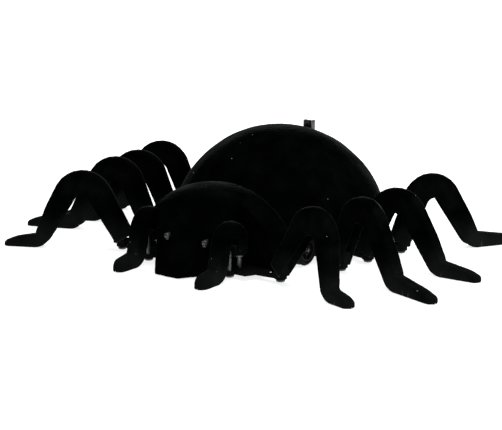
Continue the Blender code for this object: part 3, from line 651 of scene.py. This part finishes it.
def channel_section(depth, half, wall, inner_top):
    """Closed outline (up, across) of an inverted channel with rounded rims and shoulders."""
    round_out = min(1.25, depth * 0.42, half * 0.8)
    lip = min(wall / 2, half / 2.2)
    outer = [(lip + lip * math.cos(a), -half + lip + lip * math.sin(a))
             for a in np.linspace(math.pi, math.pi * 1.5, 4)]
    outer += [(depth - round_out, -half)]
    outer += [(depth - round_out + round_out * math.sin(a), -half + round_out * (1 - math.cos(a)))
              for a in np.linspace(0.25, math.pi / 2, 6)]
    crown = depth + 0.18
    outer += [(crown, -half * 0.25), (crown, half * 0.25)]
    outer += [(up, -across) for up, across in outer[:-2][::-1]]
    inner_half = max(half - wall, 0.15)
    round_in = min(max(0.35, round_out - wall), inner_top * 0.45, inner_half * 0.8)
    inner = [(lip, inner_half)]
    inner += [(inner_top - round_in + round_in * math.sin(a), inner_half - round_in * (1 - math.cos(a)))
              for a in np.linspace(0.0, math.pi / 2, 5)]
    inner += [(inner_top, 0.0)]
    inner += [(up, -across) for up, across in inner[:-1][::-1]]
    return outer + inner


def limb_shape(node):
    """A limb's underside, its depths and its reach."""
    if node == "leg_left_1":
        return SQUARE_EDGE, SQUARE_DEPTH, SQUARE_REACH
    if node.startswith("feeler"):
        return FEELER_EDGE, FEELER_DEPTH, FEELER_REACH
    edge = FRONT_EDGE if node == "leg_right_1" else LEG_EDGE
    return edge, LEG_DEPTH, LEG_REACH[node[-1]]


def limb(node):
    """One hollow limb with a rounded toe and its pivot rings; the hollow runs out before the toe."""
    corners, depths, reach = limb_shape(node)
    path, normal, share, length = limb_path((*corners, (reach, 0.0, 0.0)), LIMB_SPACING)
    depth = eased(depths, share, 0.035)
    filled, hollowing = 5.0, 3.0
    rows = []
    for spot, up, part, tall in zip(path, normal, share, depth):
        left = length * (1 - part)
        half = LEG_HALF
        if left < TOE:
            bulge = 1 - (1 - left / TOE) ** 2
            half = LEG_HALF * math.sqrt(max(0.02, bulge))
            tall = max(0.6, tall * (0.62 + 0.38 * math.sqrt(max(0.0, bulge))))
        hollow = min(1.0, max(0.0, (left - filled) / hollowing))
        ceiling = max(0.5, (tall - LEG_WALL) * hollow + 0.55 * (1 - hollow))
        section = channel_section(tall, half, LEG_WALL, min(ceiling, tall - 0.35))
        rows.append([(spot[0] + up[0] * rise, across, spot[1] + up[1] * rise)
                     for rise, across in section])
    pivot = JOINT_AT[node]
    side = 1 if "left" in node else -1
    if node.startswith("leg"):
        angle = -SWINGS[node] if side > 0 else 180.0 + SWINGS[node]
    else:
        angle = -90.0
    matrix = Matrix.Translation((pivot.x, pivot.y, 0.0)) @ Matrix.Rotation(math.radians(angle), 4, "Z")
    shell = piece("flocked_" + node, *loft(rows), matrix)
    napped(shell, 0.09, 1.0, len(node) + side)
    dress(shell, FLOCK_LIMB, node, "limb_flock", node, sharp=None)
    pivot_eyes(node, matrix)


def pivot_eyes(node, matrix):
    """Two flat rings that turn on the pin, tied together by a web towards the limb."""
    radius, low, high = HUB if node.startswith("leg") else FEELER_HUB
    bore = PIN_RADIUS + GAP
    for name, bottom in (("lower", low), ("upper", high - PIVOT_RING)):
        top = bottom + PIVOT_RING
        profile = rounded([(bore, bottom), (radius, bottom), (radius, top), (bore, top)], 0.25)
        ring = piece("_".join(("eye_ring", name, node)), *turned(profile, 40), matrix)
        dress(ring, FLOCK_LIMB, node, "limb_flock")
    reach = 3.4 if node.startswith("leg") else 5.4
    outline = rounded([(1.9, -1.6), (reach, -1.9), (reach, 1.9), (1.9, 1.6)], 0.3)
    rows = [[(x, y, z) for x, y in outline] for z in np.linspace(low + 0.1, high - 0.1, 8)]
    dress(piece("eye_web_" + node, *loft(rows), matrix), FLOCK_LIMB, node, "limb_flock")


def pin(node, x, y):
    """A turned pin with a flat head at its foot and a grooved top; a feeler's has a collar."""
    top = (HUB if "leg" in node else FEELER_HUB)[2] - GAP
    radius, groove, collar = PIN_RADIUS, PIN_RADIUS - 0.18, PIN_RADIUS + 0.8
    profile = [*PIN_HEAD, (radius, SHANK_FROM)]
    if "feeler" in node:
        low = FEELER_HUB[1] - GAP
        profile += [(radius, low - 0.8), (collar - 0.15, low - 0.8), (collar, low - 0.65),
                    (collar, low - 0.15), (collar - 0.15, low), (radius, low)]
    profile += [(radius, top - 1.2), (groove, top - 1.05), (groove, top - 0.75), (radius, top - 0.6),
                (radius, top - 0.3), (0.7, top), (ON_AXIS, top)]
    matrix = Matrix.Translation((x, y, 0.0))
    dress(piece("turned_" + node, *turned(profile, 28), matrix), STEEL, BODY, "pin_steel", node)


def limbs():
    for node, where in JOINT_AT.items():
        if node.startswith(("leg_", "feeler_")):
            limb(node)
            pin("pin_" + node, where.x, where.y)


def studs():
    """A stud with a flat head at its foot and a rounded top, under each feeler's arch."""
    x, y, radius, top = STUD
    profile = [*PIN_HEAD, (radius, SHANK_FROM), (radius, top - 0.5), (radius * 0.8, top - 0.12),
               (radius * 0.4, top), (ON_AXIS, top)]
    for side, sign in SIDES:
        node = "stud_" + side
        dress(piece("turned_" + node, *turned(profile, 28), place(sign * x, y, 0)), STEEL, BODY,
              "pin_steel", node)


# ---------------------------------------------------------------- running gear

def along_x(where, side):
    """A frame at a point whose Z axis points along X, to the left for 1 and the right for -1."""
    return Matrix.Translation(where) @ Matrix.Rotation(side * math.pi / 2, 4, "Y")


def treaded_tyre(node, body, matrix):
    """A tyre with a row of angled lugs on each side of a middle groove, and two side beads."""
    half = WHEEL_WIDTH / 2
    lugs, steps_per_lug = 22, 6
    slant, gap_share, groove_half, tread_depth = 0.16, 0.3, 0.4, 0.45
    tread_from = WHEEL_RADIUS - tread_depth + 0.05
    right_side = [(0.35, WHEEL_RADIUS), (1.2, WHEEL_RADIUS), (half - 0.55, 6.2), (half - 0.25, 5.85),
                  (half, 5.5), (half, 5.2), (half - 0.25, RIM_RADIUS + 0.3)]
    section = [(-z, r) for z, r in right_side[::-1]] + right_side
    around = lugs * steps_per_lug
    rows = []
    for step in range(around):
        phase = (step / steps_per_lug) % 1.0
        row = []
        for z, r in section:
            between_lugs = (phase + abs(z) * slant) % 1.0 < gap_share
            if r > tread_from and (between_lugs or abs(z) < groove_half):
                r -= tread_depth
            row.append((r, z))
        angle = math.tau * step / around
        rows.append([(r * math.cos(angle), r * math.sin(angle), z) for r, z in row])
    tyre = piece("treaded_" + node, *loft(rows + [rows[0]], closed=False), matrix)
    dress(tyre, TYRE, body, "tyre_rubber", node, sharp=28.0)


def spoked_wheel(node, body, matrix):
    """A rim and a hub joined by five spokes on a thin web."""
    half = WHEEL_WIDTH / 2 - 0.2
    bore = AXLE_RADIUS + GAP
    rim = rounded([(RIM_RADIUS - 0.9, -half), (RIM_RADIUS, -half), (RIM_RADIUS, half),
                   (RIM_RADIUS - 0.9, half)], 0.2)
    wheel = piece("rim_" + node, *turned(rim, 60), matrix)
    dress(wheel, WHEEL, body, "nylon", node)
    hub_radius, thin, spokes = 1.9, 0.45, 5
    hub = rounded([(bore, -half), (hub_radius, -half), (hub_radius, half), (bore, half)], 0.25)
    dress(piece("hub_" + node, *turned(hub, 36), matrix), WHEEL, body, "nylon")
    inner, outer = hub_radius - 0.2, RIM_RADIUS - 0.7
    web = rounded([(inner, -thin), (outer, -thin), (outer, thin), (inner, thin)], 0.1, 2)
    dress(piece("web_" + node, *turned(web, 60), matrix), WHEEL, body, "nylon")
    rows = []
    for r, wide, tall in ((1.6, 0.75, 1.7), (2.4, 0.5, 1.4), (3.2, 0.5, 1.2), (4.0, 0.8, 1.3)):
        outline = rounded([(-wide, -tall), (wide, -tall), (wide, tall), (-wide, tall)], 0.25, 3)
        rows.append([(r, y, z) for y, z in outline])
    for number in range(spokes):
        spin = matrix @ Matrix.Rotation(math.tau * number / spokes, 4, "Z")
        dress(piece("spoke_%d_%s" % (number, node), *loft(rows), spin), WHEEL, body, "nylon")


def toothed(node, body, shape, bore, matrix):
    """A spur gear with rounded tooth flanks; a large one has a shallow recess in its face."""
    teeth, tip, root = shape
    half = GEAR_WIDTH / 2
    outline = []
    steps = 12
    for tooth in range(teeth):
        for step in range(steps):
            phase = step / steps
            climb = min(1.0, max(0.0, 1.9 * (0.62 - abs(phase - 0.5) * 2.0) + 0.35))
            climb = climb * climb * (3 - 2 * climb)
            outline.append((root + (tip - root) * climb, (tooth + phase - 0.5) * math.tau / teeth))
    rows = []
    for z, inset in ((-half, 0.12), (-half + 0.12, 0.0), (half - 0.12, 0.0), (half, 0.12)):
        rows.append([((r - inset) * math.cos(a), (r - inset) * math.sin(a), z) for r, a in outline])
    recess = [(root - 0.6, half), (root - 1.1, half - 0.35)]
    rings = recess if root > 2 * bore else [(bore * 1.3, half)]
    for r, z in (*rings, (bore, half - 0.1), (bore, -half)):
        rows.append([(r * math.cos(a), r * math.sin(a), z) for _, a in outline])
    verts, faces = loft(rows + [rows[0]], closed=False)
    dress(piece("toothed_" + node, verts, faces, matrix), NYLON, body, "nylon", node, sharp=30.0)


def axle(node, half, matrix):
    """A turned axle with a groove near its outer end."""
    radius, groove = AXLE_RADIUS, AXLE_RADIUS - 0.15
    profile = [(ON_AXIS, -half), (radius - 0.3, -half), (radius, 0.3 - half), (radius, half - 0.9),
               (groove, half - 0.8), (groove, half - 0.55), (radius, half - 0.45), (radius, half - 0.2),
               (radius - 0.25, half), (ON_AXIS, half)]
    dress(piece("turned_" + node, *turned(profile, 28), matrix), STEEL, BODY, "pin_steel", node)


def drive_motor(node, matrix):
    """A drawn can with two flats and a bearing boss, a plastic end cap, and a bright shaft."""
    radius, low, high, flat = 3.0, 8.0, 23.5, 0.86
    shaft, shaft_end = 0.5, 29.4
    boss = high + 0.25
    profile = [(ON_AXIS, low + 0.9), (radius - 0.35, low + 0.9), (radius, low + 1.2), (radius, high - 0.4),
               (radius - 0.4, high), (1.3, high), (1.3, boss), (0.9, boss), (ON_AXIS, boss)]
    verts, faces = turned(profile, 48)
    limit = radius * flat
    verts = [(x, max(-limit, min(limit, y)), z) for x, y, z in verts]
    dress(piece("can_" + node, verts, faces, matrix), CAN, BODY, "motor_steel", node)
    cap = [(ON_AXIS, low), (radius - 0.8, low), (radius - 0.45, low + 0.3), (radius - 0.45, low + 1.0),
           (ON_AXIS, low + 1.0)]
    dress(piece("cap_" + node, *turned(cap, 40), matrix), BLACK, BODY, "motor_steel")
    dress(rod("shaft_" + node, shaft, high - 0.2, shaft_end, matrix, 0.1, 20), STEEL, BODY, "motor_steel")


def gear_train(side, sign):
    """A driven wheel with its tyre, gear and axle, and the motor and pinion that turn it."""
    wheel_body, pinion_body = "drive_wheel_" + side, "motor_pinion_" + side
    centre = JOINT_AT[wheel_body]
    matrix = along_x(centre, 1)
    treaded_tyre("front_tyre_" + side, wheel_body, matrix)
    spoked_wheel("front_wheel_" + side, wheel_body, matrix)
    inward = Vector((-sign * MM, 0, 0))
    toothed("drive_gear_" + side, wheel_body, GEAR, AXLE_RADIUS + GAP,
            along_x(centre + inward * GEAR_INWARD, 1))
    shaft = JOINT_AT[pinion_body]
    toothed("pinion_" + side, pinion_body, PINION, PINION_BORE, along_x(shaft, 1))
    axle("front_axle_" + side, FRONT_AXLE, along_x(centre + inward * FRONT_AXLE_INWARD, sign))
    drive_motor("drive_motor_" + side, along_x(Vector((SHIFT.x, shaft.y, shaft.z)), sign))


def trailing_wheel(side, sign):
    body = "trailing_wheel_" + side
    centre = JOINT_AT[body]
    treaded_tyre("rear_tyre_" + side, body, along_x(centre, 1))
    spoked_wheel("rear_wheel_" + side, body, along_x(centre, 1))
    axle("rear_axle_" + side, REAR_AXLE, along_x(centre, sign))


def impeller(centre):
    """Six twisted, swept blades on a domed hub."""
    root, tip, height = 3.6, 14.2, 9.0
    blades, thickness, camber = 6, 0.42, 0.35
    hub = [(0.9, 5.3), (2.2, 5.05), (3.4, 5.5), (4.0, 6.6), (4.0, 13.0), (3.3, 13.0), (3.3, 9.0), (0.9, 9.0)]
    dress(piece("impeller_hub", *turned(hub, 48), centre), NYLON, "fan", "nylon", "fan_impeller")
    rows = []
    for r in np.linspace(root, tip, 12):
        reach = (r - root) / (tip - root)
        pitch = math.radians(52.0 - 26.0 * reach)
        chord = 3.1 + 1.1 * math.sin(reach * math.pi * 0.8)
        sweep = reach * reach * 0.16
        section = []
        for face, shares in ((1, np.linspace(-1, 1, 9)), (-1, np.linspace(1, -1, 9)[1:-1])):
            for share in shares:
                thick = face * thickness * math.sqrt(max(0.03, 1 - share * share))
                section.append((share * chord, thick + camber * (1 - share * share)))
        row = []
        for a, b in section:
            across = a * math.cos(pitch) - b * math.sin(pitch)
            up = a * math.sin(pitch) + b * math.cos(pitch)
            angle = sweep + across / r
            row.append((r * math.cos(angle), r * math.sin(angle), height + up))
        rows.append(row)
    for number in range(blades):
        spin = centre @ Matrix.Rotation(math.tau * number / blades, 4, "Z")
        dress(piece("impeller_blade_%d" % number, *loft(rows), spin), NYLON, "fan", "nylon")


def fan():
    """The impeller, its motor, and the soft skirt under the duct."""
    centre = place(0, ABDOMEN[0], 0)
    impeller(centre)
    fan_motor(centre)
    lip = [(19.1, 1.5), (19.5, 1.1), (20.0, 0.55), (20.5, 0.5), (21.4, 0.5), (21.9, 0.55), (21.6, 0.9),
           (21.1, 1.2), (20.9, 1.5)]
    dress(piece("soft_skirt", *turned(lip, 96), centre), SKIRT, BODY, "skirt_rubber", "suction_skirt")


def fan_motor(centre):
    """A round can with a bearing boss below and a raised end above, and its shaft."""
    radius, low, high = 4.2, 15.9, 33.9
    profile = [(ON_AXIS, low - 0.3), (1.4, low - 0.3), (1.6, low), (radius - 0.4, low), (radius, low + 0.4),
               (radius, high - 0.5), (radius - 0.4, high), (3.2, high), (3.2, high + 1.0),
               (ON_AXIS, high + 1.0)]
    dress(piece("can_fan_motor", *turned(profile, 56), centre), CAN, BODY, "motor_steel", "fan_motor")
    dress(rod("shaft_fan_motor", 0.6, 6.0, 16.0, centre, 0.1, 20), STEEL, BODY, "motor_steel")


def cross_screw(node, x, y):
    """A pan-head screw whose recess is a sunk cross."""
    steps = 32
    shank, shank_top = 0.8, 9.0
    rows = []
    cross = []
    for step in range(steps):
        angle = math.tau * step / steps
        near = min(abs((angle + k * math.pi / 2) % math.tau) for k in range(4))
        near = min(near, math.pi / 2 - near)
        cross.append(0.35 + 0.75 * math.exp(-(near / 0.28) ** 2))
    angles = [math.tau * step / steps for step in range(steps)]
    for spread, z in ((0.25, 1.15), (1.0, 1.1), (1.04, 0.78)):
        rows.append([(c * spread * math.cos(a), c * spread * math.sin(a), z) for c, a in zip(cross, angles)])
    for radius, z in ((1.5, 0.72), (1.8, 0.95), (1.9, 1.25), (1.9, SHANK_FROM), (shank, SHANK_FROM),
                      (shank, shank_top - 0.4), (0.3, shank_top)):
        rows.append([(radius * math.cos(a), radius * math.sin(a), z) for a in angles])
    dress(piece("cross_" + node, *loft(rows), place(x, y, 0)), STEEL, BODY, "pin_steel", node, sharp=30.0)


# ---------------------------------------------------------------- CAD nodes that stay

def carried_over():
    """The solids whose shape is right keep it and get a finished material."""
    kept = {"chassis": BLACK, "battery_hatch": BLACK, "fan_bracket": BLACK, "charge_socket": BLACK,
            "switch_slider": BLACK, "switch_body": CAN, "battery": FOIL, "circuit_board": BOARD}
    for node, material in kept.items():
        mesh = frame["nodes"][node].data
        mesh.materials.clear()
        mesh.materials.append(material)


# ---------------------------------------------------------------- studio

def studio():
    """Bright paper under the spider, a white surround, and three soft lights."""
    reach, top, bottom = 4000, -0.02, -1.0
    corners = ((-reach, -reach), (reach, -reach), (reach, reach), (-reach, reach))
    floor = piece("studio_floor", *loft([[(x, y, z) for x, y in corners] for z in (top, bottom)]))
    floor.data.materials.append(floor_material("studio_paper"))
    world = bpy.data.worlds.new("studio_white")
    bpy.context.scene.world = world
    world.use_nodes = True
    tree = world.node_tree
    seen = tree.nodes["Background"]
    seen.inputs["Color"].default_value = (1.0, 1.0, 1.0, 1.0)
    lighting = tree.nodes.new("ShaderNodeBackground")
    lighting.inputs["Strength"].default_value = 0.30
    which = tree.nodes.new("ShaderNodeMixShader")
    tree.links.new(tree.nodes.new("ShaderNodeLightPath").outputs["Is Camera Ray"], which.inputs[0])
    tree.links.new(lighting.outputs[0], which.inputs[1])
    tree.links.new(seen.outputs[0], which.inputs[2])
    tree.links.new(which.outputs[0], tree.nodes["World Output"].inputs["Surface"])
    for name, where, size, power in (("overhead", (0.1, 0.05, 0.8), 0.7, 4.0),
                                     ("back_rim", (-0.45, 0.75, 0.42), 0.6, 10.0),
                                     ("left_rim", (0.80, 0.30, 0.20), 0.4, 3.0)):
        data = bpy.data.lights.new(name, "AREA")
        data.size = size
        data.energy = power
        light = bpy.data.objects.new(name, data)
        bpy.context.scene.collection.objects.link(light)
        light.location = where
        light.rotation_euler = (Vector((0, 0, 0.02)) - Vector(where)).to_track_quat("-Z", "Y").to_euler()
    scene = bpy.context.scene
    scene.view_settings.view_transform = "Standard"


def camera():
    """The photograph's viewpoint."""
    data = bpy.data.cameras.new("camera")
    data.lens = CAMERA_LENS
    data.sensor_width = SENSOR
    data.clip_start, data.clip_end = 0.01, 20.0
    thing = bpy.data.objects.new("camera", data)
    bpy.context.scene.collection.objects.link(thing)
    azimuth, elevation = math.radians(CAMERA_ROUND), math.radians(CAMERA_UP)
    looks = Vector((-math.sin(azimuth) * math.cos(elevation),
                    math.cos(azimuth) * math.cos(elevation), -math.sin(elevation)))
    thing.location = SHIFT + Vector(CAMERA_AT)
    thing.rotation_euler = looks.to_track_quat("-Z", "Y").to_euler()
    bpy.context.scene.camera = thing


abdomen_cover()
head_cover()
eyes()
receiver()
limbs()
studs()
for side, sign in SIDES:
    gear_train(side, sign)
    trailing_wheel(side, sign)
fan()
for cover, (x, y) in SCREWS.items():
    for side, sign in SIDES:
        cross_screw("screw_%s_%s" % (cover, side), sign * x, y)
carried_over()
studio()
camera()
